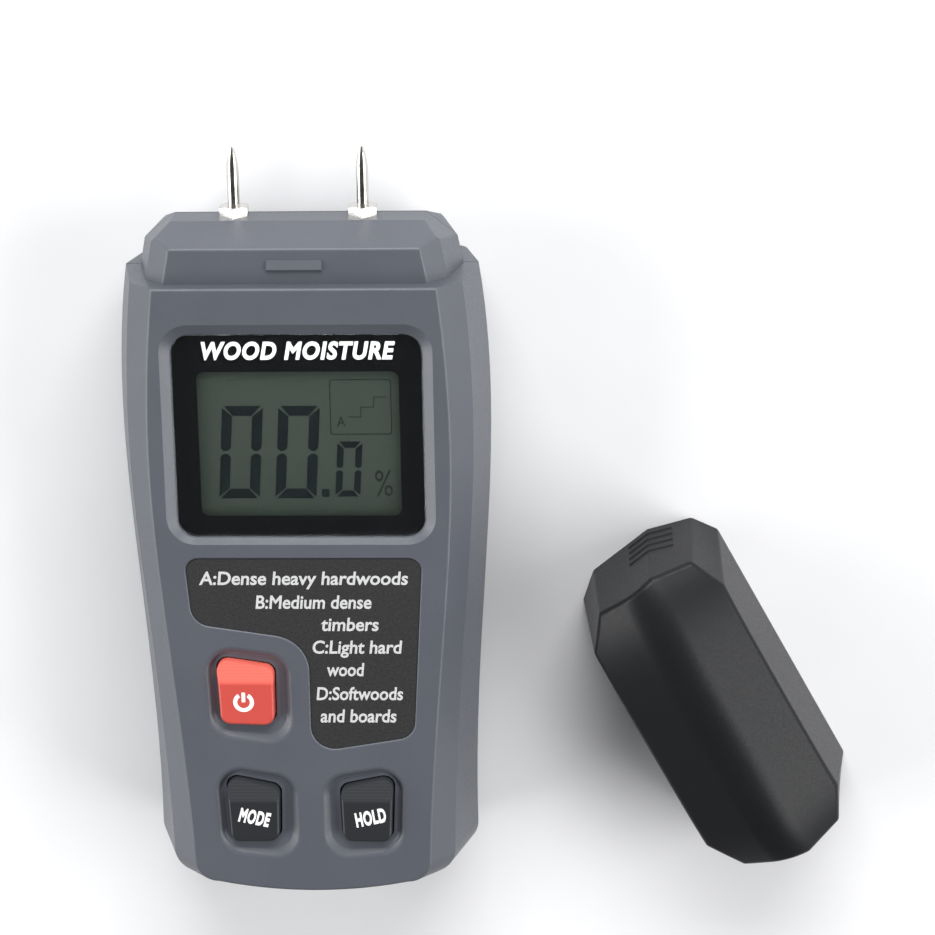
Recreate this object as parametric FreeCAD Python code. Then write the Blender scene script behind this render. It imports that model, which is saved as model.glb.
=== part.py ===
"""Two-pin wood moisture meter with its loose protective cap, in millimetres.

The meter lies on its flat back: X is its width, +Y points towards the pins, +Z is out of its face.
The origin is on the flat back, 60 mm up from the bottom end. The cap stands on its rim beside it.
"""

import FreeCAD
import Part

import math
import os

# ---- driving dimensions ----

THICKNESS = 29.0            # back to face
LENGTH = 116.0              # bottom end to the shoulder that the cap closes against
HEAD_TOP = 125.4            # bottom end to the top of the pin head
ORIGIN_UP = 60.0            # bottom end to the origin
PARTING = 11.6              # height of the joint between the two covers, which is the widest line
SEAM = 0.12                 # half the visible gap between the covers
WALL = 2.0
FACE_WALL = 2.2

# Half widths of the housing, one for each station up from the bottom end.
STATIONS = (25.0, 50.0, 85.0, 100.0, LENGTH)
FACE_HALF = (21.8, 22.9, 25.0, 27.0, 26.5, 25.0)
BEVEL_HALF = (26.2, 26.9, 28.6, 30.9, 30.7, 29.4)
WIDEST_HALF = (30.0, 30.2, 31.6, 33.6, 33.4, 31.8)
REAR_TUCK = 3.0             # how far the back is narrower than the widest line, on each side
BEVEL_DEEP = 4.65
BOTTOM_BOW = 1.8            # rise of the bottom end from its middle to its corners
CORNER = 4.6

HEAD_INSET = 3.0            # ledge between the housing's face and the head's face
HEAD_FACE_HALF = 23.9
HEAD_BEVEL = 3.5
HEAD_HALF = 29.7
HEAD_TAPER = 2.4            # narrowing of each side, base to top
ROOF_START = 122.4
STRIP_HALF = 3.35           # half the flat strip along the top of the head
HEAD_SIDE_TOP = 119.8
HEAD_TOP_HALF = 22.6
CATCH_PROUD = 0.6           # height of the catch bar on the head's face

PIN_SPACING = 23.0
PIN_HEIGHT = THICKNESS / 2
PIN_RADIUS = 1.1
PIN_TIP = 138.0
PIN_POINT = 4.9             # length of the rounded point
PIN_BLUNT = 0.3             # radius of the flat at its tip
COLLAR_FLATS = 5.0
COLLAR_HIGH = 2.0
NUT_CHAMFER = 0.3
THREAD_RADIUS = 1.5

WINDOW = (44.6, 37.9)
WINDOW_MIDDLE = 88.4
WINDOW_CORNER = 3.6
RIM = (48.4, 41.1)          # outer edge of the sloping rim around the window
RIM_MIDDLE = 88.9
WINDOW_SUNK = 1.2
WINDOW_THICK = 1.4          # depth of the pane's pocket
PRINT_GAP = 0.12            # room for the printed border under the pane
VIEW = (36.0, 27.0)
VIEW_MIDDLE = 86.7

LABEL_SUNK = 0.45
LABEL_THICK = 0.25
LABEL_GAP = 0.12
LABEL_LIP = 0.3             # rounding of the label recess's upper edge

BOARD_BOTTOM = 20.2
BOARD_THICK = 1.2
BOARD_TOP = BOARD_BOTTOM + BOARD_THICK

KEY_GAP = 0.3
KEY_PROUD = 1.3             # how far a key stands out of the face
KEY_RADIUS = 1.9
FLANGE_REACH = 0.9          # how far the hidden flange stands out around a key
FLANGE_THICK = 0.8
FLANGE_LOW = 25.7
DISH_RADIUS = 4.6
DISH_DEEP = 1.0
DISH_FLOOR = 0.9            # width of the dish's flat floor around a key
DISH_LIP = 1.2              # rounding of a dish's upper edge
SWITCH_HIGH = 3.3
PLUNGER_RADIUS = 1.7
PLUNGER_CLEARANCE = 0.06

BATTERY = (26.5, 46.0, 17.5)
BATTERY_LOW = 2.4
BATTERY_START = 5.0
TERMINAL_HIGH = 2.5

DOOR_HALF = 15.0
DOOR_END = 57.0
DOOR_THICK = 1.9
DOOR_TONGUE = 1.2
DOOR_CLEARANCE = 0.15

CASE_SCREWS = ((21.5, 10.0), (22.0, 107.5))
BOARD_SCREWS = ((16.5, 65.5), (14.5, 107.0))

CAP_WALL = 2.0
CAP_RIDGE = 29.8
CAP_CROWN_HALF = 4.5        # half the width of the round crown
CAP_TAPER = 1.3             # how far each wall leans in over the whole height
CAP_FACE_TAPER = 3.6        # the long walls narrow this many times faster than they lean
CAP_MARK_DEEP = 0.3
CAP_EDGE = 1.3
# Half the roof from its middle to its end: place, height of the long wall's crease, height of the crown.
CAP_ROOF = (
    (0.0, 22.0, CAP_RIDGE), (12.0, 21.8, 29.7), (21.0, 20.9, 28.9), (27.5, 18.8, 27.3), (34.0, 14.2, 24.0),
)
CAP_PLACE = (74.5, -28.5)
CAP_TURN = -61.7            # turn of the standing cap about the vertical, in degrees

BIG = 200.0


# ---- helpers ----

def at(x, y, z=0.0):
    """A point given by its distance up from the bottom end instead of from the origin."""
    return FreeCAD.Vector(x, y - ORIGIN_UP, z)


def block(x, y, z):
    """A box from three (low, high) pairs."""
    size = (x[1] - x[0], y[1] - y[0], z[1] - z[0])
    return Part.makeBox(size[0], size[1], size[2], at(x[0], y[0], z[0]))


def rod(radius, start, end):
    """A cylinder between two points."""
    way = end - start
    return Part.makeCylinder(radius, way.Length, start, way)


def fuse(shapes):
    whole = shapes[0]
    for shape in shapes[1:]:
        whole = whole.fuse(shape)
    return whole.removeSplitter()


def cut(shape, tools):
    for tool in tools:
        shape = shape.cut(tool)
    return shape


def both_sides(shape):
    """The shape and its mirror image across the middle plane."""
    return [shape, shape.mirror(FreeCAD.Vector(0, 0, 0), FreeCAD.Vector(1, 0, 0))]


def polygon(points):
    return Part.makePolygon(points + [points[0]])


def prism(points, way):
    return Part.Face(polygon(points)).extrude(way)


def rounded_outline(corners, radii, z):
    """A closed outline through the corners, given as (x, y), with each corner rounded by its own radius."""
    edges = []
    count = len(corners)
    ends = []
    for index in range(count):
        here = at(corners[index][0], corners[index][1], z)
        before = at(corners[index - 1][0], corners[index - 1][1], z) - here
        after = at(corners[(index + 1) % count][0], corners[(index + 1) % count][1], z) - here
        half_turn = before.getAngle(after) / 2
        radius = radii[index]
        reach = radius / math.tan(half_turn)
        before.normalize()
        after.normalize()
        inward = before + after
        inward.normalize()
        middle = here + inward * (radius / math.sin(half_turn) - radius)
        ends.append((here + before * reach, middle, here + after * reach))
    for index in range(count):
        start, middle, end = ends[index]
        edges.append(Part.Arc(start, middle, end).toShape())
        edges.append(Part.LineSegment(end, ends[(index + 1) % count][0]).toShape())
    return Part.Wire(edges)


def rectangle(middle, size, radius, z):
    x, y = middle
    half_x, half_y = size[0] / 2, size[1] / 2
    corners = [
        (x - half_x, y - half_y), (x + half_x, y - half_y),
        (x + half_x, y + half_y), (x - half_x, y + half_y),
    ]
    return rounded_outline(corners, [radius] * 4, z)


def solid_loft(outlines):
    return Part.makeLoft(outlines, True, True)


def plate(outline, thick):
    return Part.Face(outline).extrude(FreeCAD.Vector(0, 0, thick))


def hexagon(flats, middle, way):
    """A hexagonal prism along Y with one corner towards the face."""
    radius = flats / math.sqrt(3)
    points = []
    for step in range(6):
        angle = math.radians(90 + 60 * step)
        points.append(middle + FreeCAD.Vector(radius * math.cos(angle), 0, radius * math.sin(angle)))
    return prism(points, FreeCAD.Vector(0, way, 0))


def soften(shape, radius, wanted):
    """Round the edges whose middle point passes the test."""
    edges = []
    for edge in shape.Edges:
        middle = edge.valueAt((edge.FirstParameter + edge.LastParameter) / 2)
        if wanted(middle.x, middle.y + ORIGIN_UP, middle.z, edge):
            edges.append(edge)
    return shape.makeFillet(radius, edges)


# ---- the housing's outer and inner surfaces ----

def level_outline(half_widths, z, inset=0.0, corner=CORNER):
    """The housing's outline at one height: bowed bottom end, round corners, curved sides, flat shoulder."""
    half = [width - inset for width in half_widths]
    low = BOTTOM_BOW + inset
    side = [at(half[0], low + corner, z)]
    for station, width in zip(STATIONS[:-1], half[1:-1]):
        side.append(at(width, station, z))
    side.append(at(half[-1], LENGTH - inset, z))
    left = [FreeCAD.Vector(-point.x, point.y, point.z) for point in reversed(side)]
    foot = at(half[0] - corner, low, z)
    left_foot = at(corner - half[0], low, z)
    turn = corner * (1 - math.sqrt(0.5))
    edges = [Part.Arc(left_foot, at(0, inset, z), foot).toShape()]
    edges.append(Part.Arc(foot, at(half[0] - turn, low + turn, z), side[0]).toShape())
    right_curve = Part.BSplineCurve()
    right_curve.interpolate(side)
    edges.append(right_curve.toShape())
    edges.append(Part.LineSegment(side[-1], left[0]).toShape())
    left_curve = Part.BSplineCurve()
    left_curve.interpolate(left)
    edges.append(left_curve.toShape())
    edges.append(Part.Arc(left[-1], at(turn - half[0], low + turn, z), left_foot).toShape())
    return Part.Wire(edges)


def mixed(low_widths, high_widths, share):
    return [low + (high - low) * share for low, high in zip(low_widths, high_widths)]


def housing_body():
    rear = [width - REAR_TUCK for width in WIDEST_HALF]
    outlines = [
        level_outline(rear, 0.0),
        level_outline(WIDEST_HALF, PARTING),
        level_outline(BEVEL_HALF, THICKNESS - BEVEL_DEEP),
        level_outline(FACE_HALF, THICKNESS),
    ]
    body = solid_loft(outlines)
    return soften(body, 2.4, lambda x, y, z, edge: z < 0.01 and y < LENGTH - 1)


def housing_hollow():
    rear = [width - REAR_TUCK for width in WIDEST_HALF]
    rear_share = WALL / PARTING
    face_share = (BEVEL_DEEP - FACE_WALL) / BEVEL_DEEP
    outlines = [
        level_outline(mixed(rear, WIDEST_HALF, rear_share), WALL, WALL),
        level_outline(WIDEST_HALF, PARTING, WALL),
        level_outline(BEVEL_HALF, THICKNESS - BEVEL_DEEP, WALL),
        level_outline(mixed(BEVEL_HALF, FACE_HALF, face_share), THICKNESS - FACE_WALL, WALL),
    ]
    return solid_loft(outlines)


def head_section(y, narrowing, inset):
    """An eight-sided slice across the head."""
    low, high = HEAD_INSET + inset, THICKNESS - HEAD_INSET - inset
    face = HEAD_FACE_HALF - narrowing - inset * 0.6
    shoulder = HEAD_FACE_HALF + HEAD_BEVEL - narrowing - inset
    side = HEAD_HALF - narrowing - inset
    corners = [
        (face, high), (shoulder, high - HEAD_BEVEL), (side, PARTING),
        (shoulder, low + HEAD_BEVEL), (face, low),
    ]
    corners += [(-x, z) for x, z in reversed(corners)]
    return polygon([at(x, y, z) for x, z in corners])


def head_block(base, inset=0.0):
    """The pin head: tapering block, pitched roof front and back, corners cut off."""
    top = HEAD_TOP - inset
    body = solid_loft([head_section(base, 0.0, inset), head_section(top, HEAD_TAPER, inset)])
    low, high = HEAD_INSET + inset, THICKNESS - HEAD_INSET - inset
    middle = THICKNESS / 2
    roof_start = ROOF_START - inset * 0.8
    roof = [
        at(-BIG, base, low), at(-BIG, roof_start, low), at(-BIG, top, middle - STRIP_HALF),
        at(-BIG, top, middle + STRIP_HALF), at(-BIG, roof_start, high), at(-BIG, base, high),
    ]
    body = body.common(prism(roof, FreeCAD.Vector(2 * BIG, 0, 0)))
    side_top = HEAD_SIDE_TOP - inset * 0.6
    top_half = HEAD_TOP_HALF - inset * 0.6
    front = [
        at(-HEAD_HALF, base, 0), at(HEAD_HALF, base, 0), at(HEAD_HALF, side_top, 0),
        at(top_half, top, 0), at(-top_half, top, 0), at(-HEAD_HALF, side_top, 0),
    ]
    return body.common(prism(front, FreeCAD.Vector(0, 0, THICKNESS)))


def head_outer():
    body = head_block(LENGTH - 3.0)
    return soften(body, 0.7, lambda x, y, z, edge: y > LENGTH + 0.5)


# ---- keys ----

POWER = {
    "corners": [(-15.8, 34.0), (-6.0, 33.7), (-5.9, 44.8), (-16.3, 46.5)],
    "dish": [(-17.7, 31.3), (-2.7, 29.0), (-2.9, 46.9), (-18.2, 49.0)],
}
MODE = {
    "corners": [(-14.8, 10.4), (-5.9, 10.6), (-5.6, 21.0), (-15.4, 23.2)],
    "dish": [(-16.6, 7.9), (-2.2, 6.4), (-2.2, 23.0), (-17.3, 25.4)],
}


def mirrored(key):
    return {name: [(-x, y) for x, y in reversed(points)] for name, points in key.items()}


HOLD = mirrored(MODE)
KEYS = {"power": POWER, "mode": MODE, "hold": HOLD}


def grown(corners, amount):
    """The outline's corners moved outwards from their middle."""
    mid_x = sum(x for x, y in corners) / len(corners)
    mid_y = sum(y for x, y in corners) / len(corners)
    moved = []
    for x, y in corners:
        moved.append((x + math.copysign(amount, x - mid_x), y + math.copysign(amount, y - mid_y)))
    return moved


def key_outline(key, amount, z):
    return rounded_outline(grown(key["corners"], amount), [KEY_RADIUS + amount * 0.5] * 4, z)


def halfway(key):
    """The outline between a dish's rim and its floor."""
    inner = grown(key["corners"], DISH_FLOOR)
    return [((a + c) / 2, (b + d) / 2) for (a, b), (c, d) in zip(key["dish"], inner)]


def key_middle(key):
    corners = key["corners"]
    return sum(x for x, y in corners) / 4, sum(y for x, y in corners) / 4


def key_cap(key):
    """A rounded key with a flange inside the cover and a sloping, ribbed upper third."""
    top = THICKNESS + KEY_PROUD
    stem = plate(key_outline(key, 0.0, FLANGE_LOW), top - FLANGE_LOW)
    stem = soften(stem, 0.55, lambda x, y, z, edge: z > top - 0.01)
    low_y = min(y for x, y in key["corners"])
    high_y = max(y for x, y in key["corners"])
    crease = low_y + (high_y - low_y) * 0.64
    slope = [
        at(-BIG, crease, top), at(-BIG, high_y + 3, top - 1.5),
        at(-BIG, high_y + 3, top + 5), at(-BIG, crease, top + 5),
    ]
    stem = stem.cut(prism(slope, FreeCAD.Vector(2 * BIG, 0, 0)))
    flange = plate(key_outline(key, FLANGE_REACH, FLANGE_LOW), FLANGE_THICK)
    return fuse([stem, flange])


def key_hole(key):
    return plate(key_outline(key, KEY_GAP, FLANGE_LOW), THICKNESS + 1 - FLANGE_LOW)


def key_dish(key):
    """The scooped hollow around a key, wider towards the middle of the meter and below the key."""
    rim = rounded_outline(key["dish"], [DISH_RADIUS] * 4, THICKNESS + 0.01)
    step = rounded_outline(halfway(key), [DISH_RADIUS - 0.8] * 4, THICKNESS - DISH_DEEP * 0.72)
    floor = key_outline(key, DISH_FLOOR, THICKNESS - DISH_DEEP)
    return solid_loft([rim, step, floor])


def switch_housing(key):
    x, y = key_middle(key)
    body = block((x - 3, x + 3), (y - 3, y + 3), (BOARD_TOP, BOARD_TOP + SWITCH_HIGH))
    body = soften(body, 0.4, lambda ex, ey, ez, edge: BOARD_TOP < ez < BOARD_TOP + SWITCH_HIGH - 0.1)
    bore_low = BOARD_TOP + 1.0
    bore = rod(PLUNGER_RADIUS + PLUNGER_CLEARANCE, at(x, y, bore_low), at(x, y, THICKNESS))
    return body.cut(bore)


def switch_plunger(key):
    x, y = key_middle(key)
    return rod(PLUNGER_RADIUS, at(x, y, FLANGE_LOW - 2.4), at(x, y, FLANGE_LOW))


# ---- covers ----

# The label's corners, and the radius that rounds each of them.
LABEL_CORNERS = [(-21.4, 65.7), (21.5, 65.7), (19.4, 31.0), (0.5, 27.8), (0.6, 49.9), (-20.4, 53.1)]
LABEL_RADII = [2.4, 2.4, 3.4, 4.3, 7.0, 3.8]


def label_outline(z):
    return rounded_outline(LABEL_CORNERS, LABEL_RADII, z)


def screw_post(x, y, radius, low, high):
    return rod(radius, at(x, y, low), at(x, y, high))


def sink_label_and_dishes(shell):
    """Cut the label's recess and the three dishes into the face, and round their upper edges."""
    outline = label_outline(THICKNESS)

    def dish_edge(x, y, z, edge):
        return z > THICKNESS - 0.01 and 5 < y < 50 and abs(x) < 20

    def label_edge(x, y, z, edge):
        return outline.distToShape(Part.Vertex(at(x, y, z)))[0] < 0.01

    dished = soften(cut(shell, [key_dish(key) for key in KEYS.values()]), DISH_LIP, dish_edge)
    sunk = cut(dished, [plate(label_outline(THICKNESS - LABEL_SUNK), 2)])
    return soften(sunk, LABEL_LIP, label_edge)


def front_cover():
    shell = fuse([housing_body(), head_outer()])
    shell = soften(shell, 0.5, lambda x, y, z, edge: z > THICKNESS - 0.01 and y < LENGTH + 0.1)
    shell = sink_label_and_dishes(shell)
    window_backing = block((-25, 25), (WINDOW_MIDDLE - 21.5, WINDOW_MIDDLE + 21.5), (25.6, THICKNESS - 1))
    posts = []
    for x, y in CASE_SCREWS:
        posts += both_sides(screw_post(x, y, 3.0, PARTING - 1.4, THICKNESS - 1.5))
    for x, y in BOARD_SCREWS:
        posts += both_sides(screw_post(x, y, 2.1, BOARD_TOP, THICKNESS - 1.5))
    hollow = housing_hollow().fuse(head_block(LENGTH - 4.0, WALL))
    inside = hollow.common(fuse([window_backing] + posts))
    above = block((-BIG, BIG), (-BIG, 2 * BIG), (PARTING + SEAM, BIG))
    cover = shell.cut(hollow).common(above).fuse(inside)
    sunk = THICKNESS - WINDOW_SUNK
    rim = rectangle((0, RIM_MIDDLE), RIM, WINDOW_CORNER + 1.6, THICKNESS + 0.01)
    floor = rectangle((0, WINDOW_MIDDLE), (WINDOW[0] + 0.3, WINDOW[1] + 0.3), WINDOW_CORNER, sunk)
    pocket = rectangle((0, WINDOW_MIDDLE), (WINDOW[0] + 0.1, WINDOW[1] + 0.1), WINDOW_CORNER, sunk)
    tools = [solid_loft([rim, floor]), plate(pocket, -WINDOW_THICK)]
    tools.append(plate(rectangle((0, VIEW_MIDDLE), (VIEW[0] + 2.4, VIEW[1] + 2.4), 1.0, 20), 8))
    tools += [key_hole(key) for key in KEYS.values()]
    for x, y in CASE_SCREWS:
        tools += both_sides(rod(1.2, at(x, y, 0), at(x, y, 19.2)))
    for x, y in BOARD_SCREWS:
        tools += both_sides(rod(0.9, at(x, y, 0), at(x, y, 25.8)))
    pin_start, pin_end = at(PIN_SPACING / 2, 118, PIN_HEIGHT), at(PIN_SPACING / 2, 130, PIN_HEIGHT)
    tools += both_sides(rod(THREAD_RADIUS + 0.05, pin_start, pin_end))
    return cut(cover, tools).fuse(catch_bar())


def catch_bar():
    """A wedge on the head's face: the cap's wall rides up its slope, and its steep side faces the housing."""
    face = THICKNESS - HEAD_INSET
    section = [(118.6, face - 0.5), (118.6, face + CATCH_PROUD), (120.4, face + 0.1), (120.4, face - 0.5)]
    wedge = prism([at(-4.9, y, z) for y, z in section], FreeCAD.Vector(9.8, 0, 0))
    return soften(wedge, 0.15, lambda x, y, z, edge: z > face + CATCH_PROUD - 0.01)


def door_profile(gap):
    """The battery door's T-shaped section, or the slot for it when a gap is given."""
    half, tongue = DOOR_HALF + gap, DOOR_HALF + DOOR_TONGUE + gap
    low, high = DOOR_THICK + DOOR_CLEARANCE - gap, DOOR_THICK + 1.0 + gap
    points = [
        (-half, -1), (half, -1), (half, low), (tongue, low),
        (tongue, high), (-tongue, high), (-tongue, low), (-half, low),
    ]
    end = DOOR_END + gap
    return prism([at(x, -5, z) for x, z in points], FreeCAD.Vector(0, end + 5, 0))


def rear_cover():
    shell = fuse([housing_body(), head_outer()])
    hollow = housing_hollow().fuse(head_block(LENGTH - 4.0, WALL))
    below = block((-BIG, BIG), (-BIG, 2 * BIG), (-1, PARTING - SEAM))
    posts = []
    for x, y in CASE_SCREWS:
        posts += both_sides(screw_post(x, y, 3.4, 0.5, PARTING - 1.6))
    wall_high = 17.5
    ribs = both_sides(block((17.0, 18.2), (1.0, 59.5), (WALL - 0.5, wall_high)))
    ribs.append(block((-18.2, -7.0), (59.5, 60.7), (WALL - 0.5, wall_high)))
    ribs.append(block((7.0, 18.2), (59.5, 60.7), (WALL - 0.5, wall_high)))
    inside = hollow.common(fuse(posts + ribs))
    cover = shell.cut(hollow).common(below).fuse(inside)
    lip = level_lip()
    tools = [door_profile(DOOR_CLEARANCE)]
    for x, y in CASE_SCREWS:
        tools += both_sides(rod(1.5, at(x, y, -1), at(x, y, PARTING + 2)))
        tools += both_sides(rod(2.6, at(x, y, -1), at(x, y, 3.6)))
    return cut(cover.fuse(lip), tools)


def level_lip():
    """The tongue inside the seam: it grows from the rear cover and stands behind the front cover's wall."""
    low, high = PARTING - 2.2, PARTING + 1.6
    outer = [level_outline(WIDEST_HALF, PARTING, WALL + 0.1), level_outline(WIDEST_HALF, high, WALL + 0.75)]
    inner = [level_outline(WIDEST_HALF, low, WALL + 1.6), level_outline(WIDEST_HALF, high + 0.1, WALL + 1.6)]
    foot = [level_outline(WIDEST_HALF, low, WALL + 0.1), level_outline(WIDEST_HALF, PARTING, WALL + 0.1)]
    root = [level_outline(WIDEST_HALF, z, WALL - 0.6) for z in (low, PARTING - SEAM)]
    core = [level_outline(WIDEST_HALF, z, WALL + 1.6) for z in (low - 1, PARTING)]
    ring = solid_loft(foot).fuse(solid_loft(outer)).cut(solid_loft(inner))
    wall = solid_loft(root).cut(solid_loft(core))
    return ring.fuse(wall).common(block((-BIG, BIG), (-BIG, LENGTH - 6), (0, BIG)))


def battery_door():
    """The door takes the housing's own outside shape, with tongues that run inside the rear wall."""
    door = housing_body().common(door_profile(0.0))
    relief = block((-13.7, 13.7), (WALL + 1.0, 2 * BIG), (DOOR_THICK, BIG))
    grips = [relief]
    for step in range(5):
        low = 42.0 + 2.2 * step
        groove = block((-7.0, 7.0), (low, low + 0.9), (-1, 0.45))
        grips.append(groove)
    thumb = plate(rounded_outline([(-4.0, 35.0), (4.0, 35.0), (0.0, 30.5)], [0.5] * 3, -1), 1.45)
    return cut(door, grips + [thumb])


# ---- window, display and label ----

def display_window():
    low, top = THICKNESS - WINDOW_SUNK - WINDOW_THICK + PRINT_GAP, THICKNESS - WINDOW_SUNK
    pane = plate(rectangle((0, WINDOW_MIDDLE), WINDOW, WINDOW_CORNER, low), top - low)
    return soften(pane, 0.25, lambda x, y, z, edge: z > top - 0.01)


GLASS_LOW = 23.6
GLASS_THICK = 1.7


def lcd_glass():
    """Front glass, and a rear glass that is longer by the contact ledge at its lower edge."""
    x = (-18.9, 18.9)
    rear = block(x, (VIEW_MIDDLE - 16.2, VIEW_MIDDLE + 14.4), (GLASS_LOW, GLASS_LOW + 0.85))
    front = block(x, (VIEW_MIDDLE - 13.9, VIEW_MIDDLE + 14.4), (GLASS_LOW + 0.85, GLASS_LOW + GLASS_THICK))
    return fuse([rear, front])


def lcd_frame():
    """The holder around the glass, with feet on the board."""
    glass_top = GLASS_LOW + GLASS_THICK
    outer = block((-20.2, 20.2), (VIEW_MIDDLE - 17.6, VIEW_MIDDLE + 15.8), (BOARD_TOP, glass_top))
    well = block((-19.0, 19.0), (VIEW_MIDDLE - 16.3, VIEW_MIDDLE + 14.5), (GLASS_LOW, glass_top + 1))
    under = block((-17.6, 17.6), (VIEW_MIDDLE - 16.3, VIEW_MIDDLE + 13.0), (BOARD_TOP - 1, GLASS_LOW + 1))
    windows = []
    for low in (-12.0, -4.0, 4.0):
        y = VIEW_MIDDLE + low
        windows.append(block((-21, 21), (y, y + 5), (BOARD_TOP - 1, GLASS_LOW - 0.8)))
    return cut(outer, [well, under] + windows)


def zebra_connector():
    low = VIEW_MIDDLE - 16.0
    return block((-17.4, 17.4), (low, low + 1.9), (BOARD_TOP, GLASS_LOW))


def legend_label():
    """A thin plate with a fine gap between it and its recess."""
    face = Part.Face(label_outline(THICKNESS - LABEL_SUNK)).makeOffset2D(-LABEL_GAP)
    return face.extrude(FreeCAD.Vector(0, 0, LABEL_THICK))


# ---- board and what is on it ----

def main_board():
    board = plate(rectangle((0, 58.5), (41.0, 105.0), 1.5, BOARD_BOTTOM), BOARD_THICK)
    tools = []
    for x, y in CASE_SCREWS:
        tools += both_sides(rod(4.0, at(x, y, 0), at(x, y, 30)))
    for x, y in BOARD_SCREWS:
        tools += both_sides(rod(1.2, at(x, y, 0), at(x, y, 30)))
    return cut(board, tools)


def controller_chip():
    """A square flat-pack chip on the back of the board, with legs on four sides."""
    x, y, half = 3.0, 82.0, 5.0
    body = block((x - half, x + half), (y - half, y + half), (BOARD_BOTTOM - 1.6, BOARD_BOTTOM - 0.15))
    legs = []
    for step in range(11):
        along = -4.0 + 0.8 * step
        for side in (-1, 1):
            reach = sorted((side * (half - 0.2), side * (half + 1.0)))
            foot_z = (BOARD_BOTTOM - 0.35, BOARD_BOTTOM)
            legs.append(block((x + reach[0], x + reach[1]), (y + along - 0.2, y + along + 0.2), foot_z))
            legs.append(block((x + along - 0.2, x + along + 0.2), (y + reach[0], y + reach[1]), foot_z))
    return fuse([body] + legs)


def clock_crystal():
    can = plate(rectangle((-9.0, 80.0), (4.6, 11.0), 2.2, BOARD_BOTTOM - 3.4), 3.4)
    return soften(can, 0.4, lambda x, y, z, edge: z < BOARD_BOTTOM - 3.39)


def board_components():
    """Small resistors and capacitors on the back of the board."""
    spots = []
    for column in range(4):
        for row in range(3):
            spots.append((-14.0 + 4.2 * column, 92.0 + 2.6 * row))
    for row in range(4):
        spots.append((12.5, 74.0 + 3.4 * row))
    return Part.makeCompound([
        block((x - 1.0, x + 1.0), (y - 0.6, y + 0.6), (BOARD_BOTTOM - 0.7, BOARD_BOTTOM)) for x, y in spots
    ])


def screw(x, y, head_z, head_high, head_radius, shank_radius, tip_z):
    """A pan-head screw driven towards +Z, with a cross recess."""
    head = rod(head_radius, at(x, y, head_z), at(x, y, head_z + head_high))
    head = soften(head, head_high * 0.4, lambda ex, ey, ez, edge: ez < head_z + 0.01)
    shank = rod(shank_radius, at(x, y, head_z + head_high), at(x, y, tip_z))
    whole = fuse([head, shank])
    arm, half = head_radius * 0.6, head_radius * 0.14
    depth = (head_z - 1, head_z + head_high * 0.55)
    across = block((x - arm, x + arm), (y - half, y + half), depth)
    along = block((x - half, x + half), (y - arm, y + arm), depth)
    return cut(whole, [across, along])


def mirrored_pairs(shape_at, places):
    shapes = []
    for x, y in places:
        shapes += [shape_at(x, y), shape_at(-x, y)]
    return Part.makeCompound(shapes)


def case_screws():
    return mirrored_pairs(lambda x, y: screw(x, y, 1.9, 1.7, 2.4, 1.2, 18.5), CASE_SCREWS)


def board_screws():
    return mirrored_pairs(lambda x, y: screw(x, y, BOARD_BOTTOM - 1.3, 1.3, 1.9, 0.9, 25.4), BOARD_SCREWS)


# ---- pins and their wiring ----

def probe_pin(x):
    """A threaded tail inside the head, a plain shaft and a rounded point outside."""
    tail = rod(THREAD_RADIUS, at(x, 117.6, PIN_HEIGHT), at(x, HEAD_TOP + COLLAR_HIGH, PIN_HEIGHT))
    shaft_end = PIN_TIP - PIN_POINT
    foot = at(x, HEAD_TOP + COLLAR_HIGH, PIN_HEIGHT)
    axis_point = at(x, PIN_TIP, PIN_HEIGHT)
    waist = at(x + PIN_RADIUS, shaft_end, PIN_HEIGHT)
    bulge = at(x + PIN_RADIUS * 0.83, shaft_end + PIN_POINT * 0.5, PIN_HEIGHT)
    blunt = at(x + PIN_BLUNT, PIN_TIP, PIN_HEIGHT)
    edges = [
        Part.LineSegment(foot, at(x + PIN_RADIUS, HEAD_TOP + COLLAR_HIGH, PIN_HEIGHT)).toShape(),
        Part.LineSegment(at(x + PIN_RADIUS, HEAD_TOP + COLLAR_HIGH, PIN_HEIGHT), waist).toShape(),
        Part.Arc(waist, bulge, blunt).toShape(),
        Part.LineSegment(blunt, axis_point).toShape(),
        Part.LineSegment(axis_point, foot).toShape(),
    ]
    needle = Part.Face(Part.Wire(edges)).revolve(foot, FreeCAD.Vector(0, 1, 0), 360)
    return fuse([tail, needle])


def probe_pins():
    return Part.makeCompound([probe_pin(-PIN_SPACING / 2), probe_pin(PIN_SPACING / 2)])


def hex_nut(x, start, high):
    """A hexagon nut whose outer corners are chamfered by a cone."""
    nut = hexagon(COLLAR_FLATS, at(x, start, PIN_HEIGHT), high)
    corner, top = COLLAR_FLATS / math.sqrt(3), COLLAR_FLATS / 2 + 0.02
    foot = top + (corner - top) * high / NUT_CHAMFER
    nut = nut.common(Part.makeCone(foot, top, high, at(x, start, PIN_HEIGHT), FreeCAD.Vector(0, 1, 0)))
    return nut.cut(rod(THREAD_RADIUS, at(x, start - 1, PIN_HEIGHT), at(x, start + high + 1, PIN_HEIGHT)))


def pin_collars():
    return Part.makeCompound([hex_nut(x, HEAD_TOP, COLLAR_HIGH) for x in (-PIN_SPACING / 2, PIN_SPACING / 2)])


LOCK_NUT_START = HEAD_TOP - WALL - 2.0
LUG_START = LOCK_NUT_START - 0.5


def lock_nuts():
    return Part.makeCompound([hex_nut(x, LOCK_NUT_START, 2.0) for x in (-PIN_SPACING / 2, PIN_SPACING / 2)])


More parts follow.
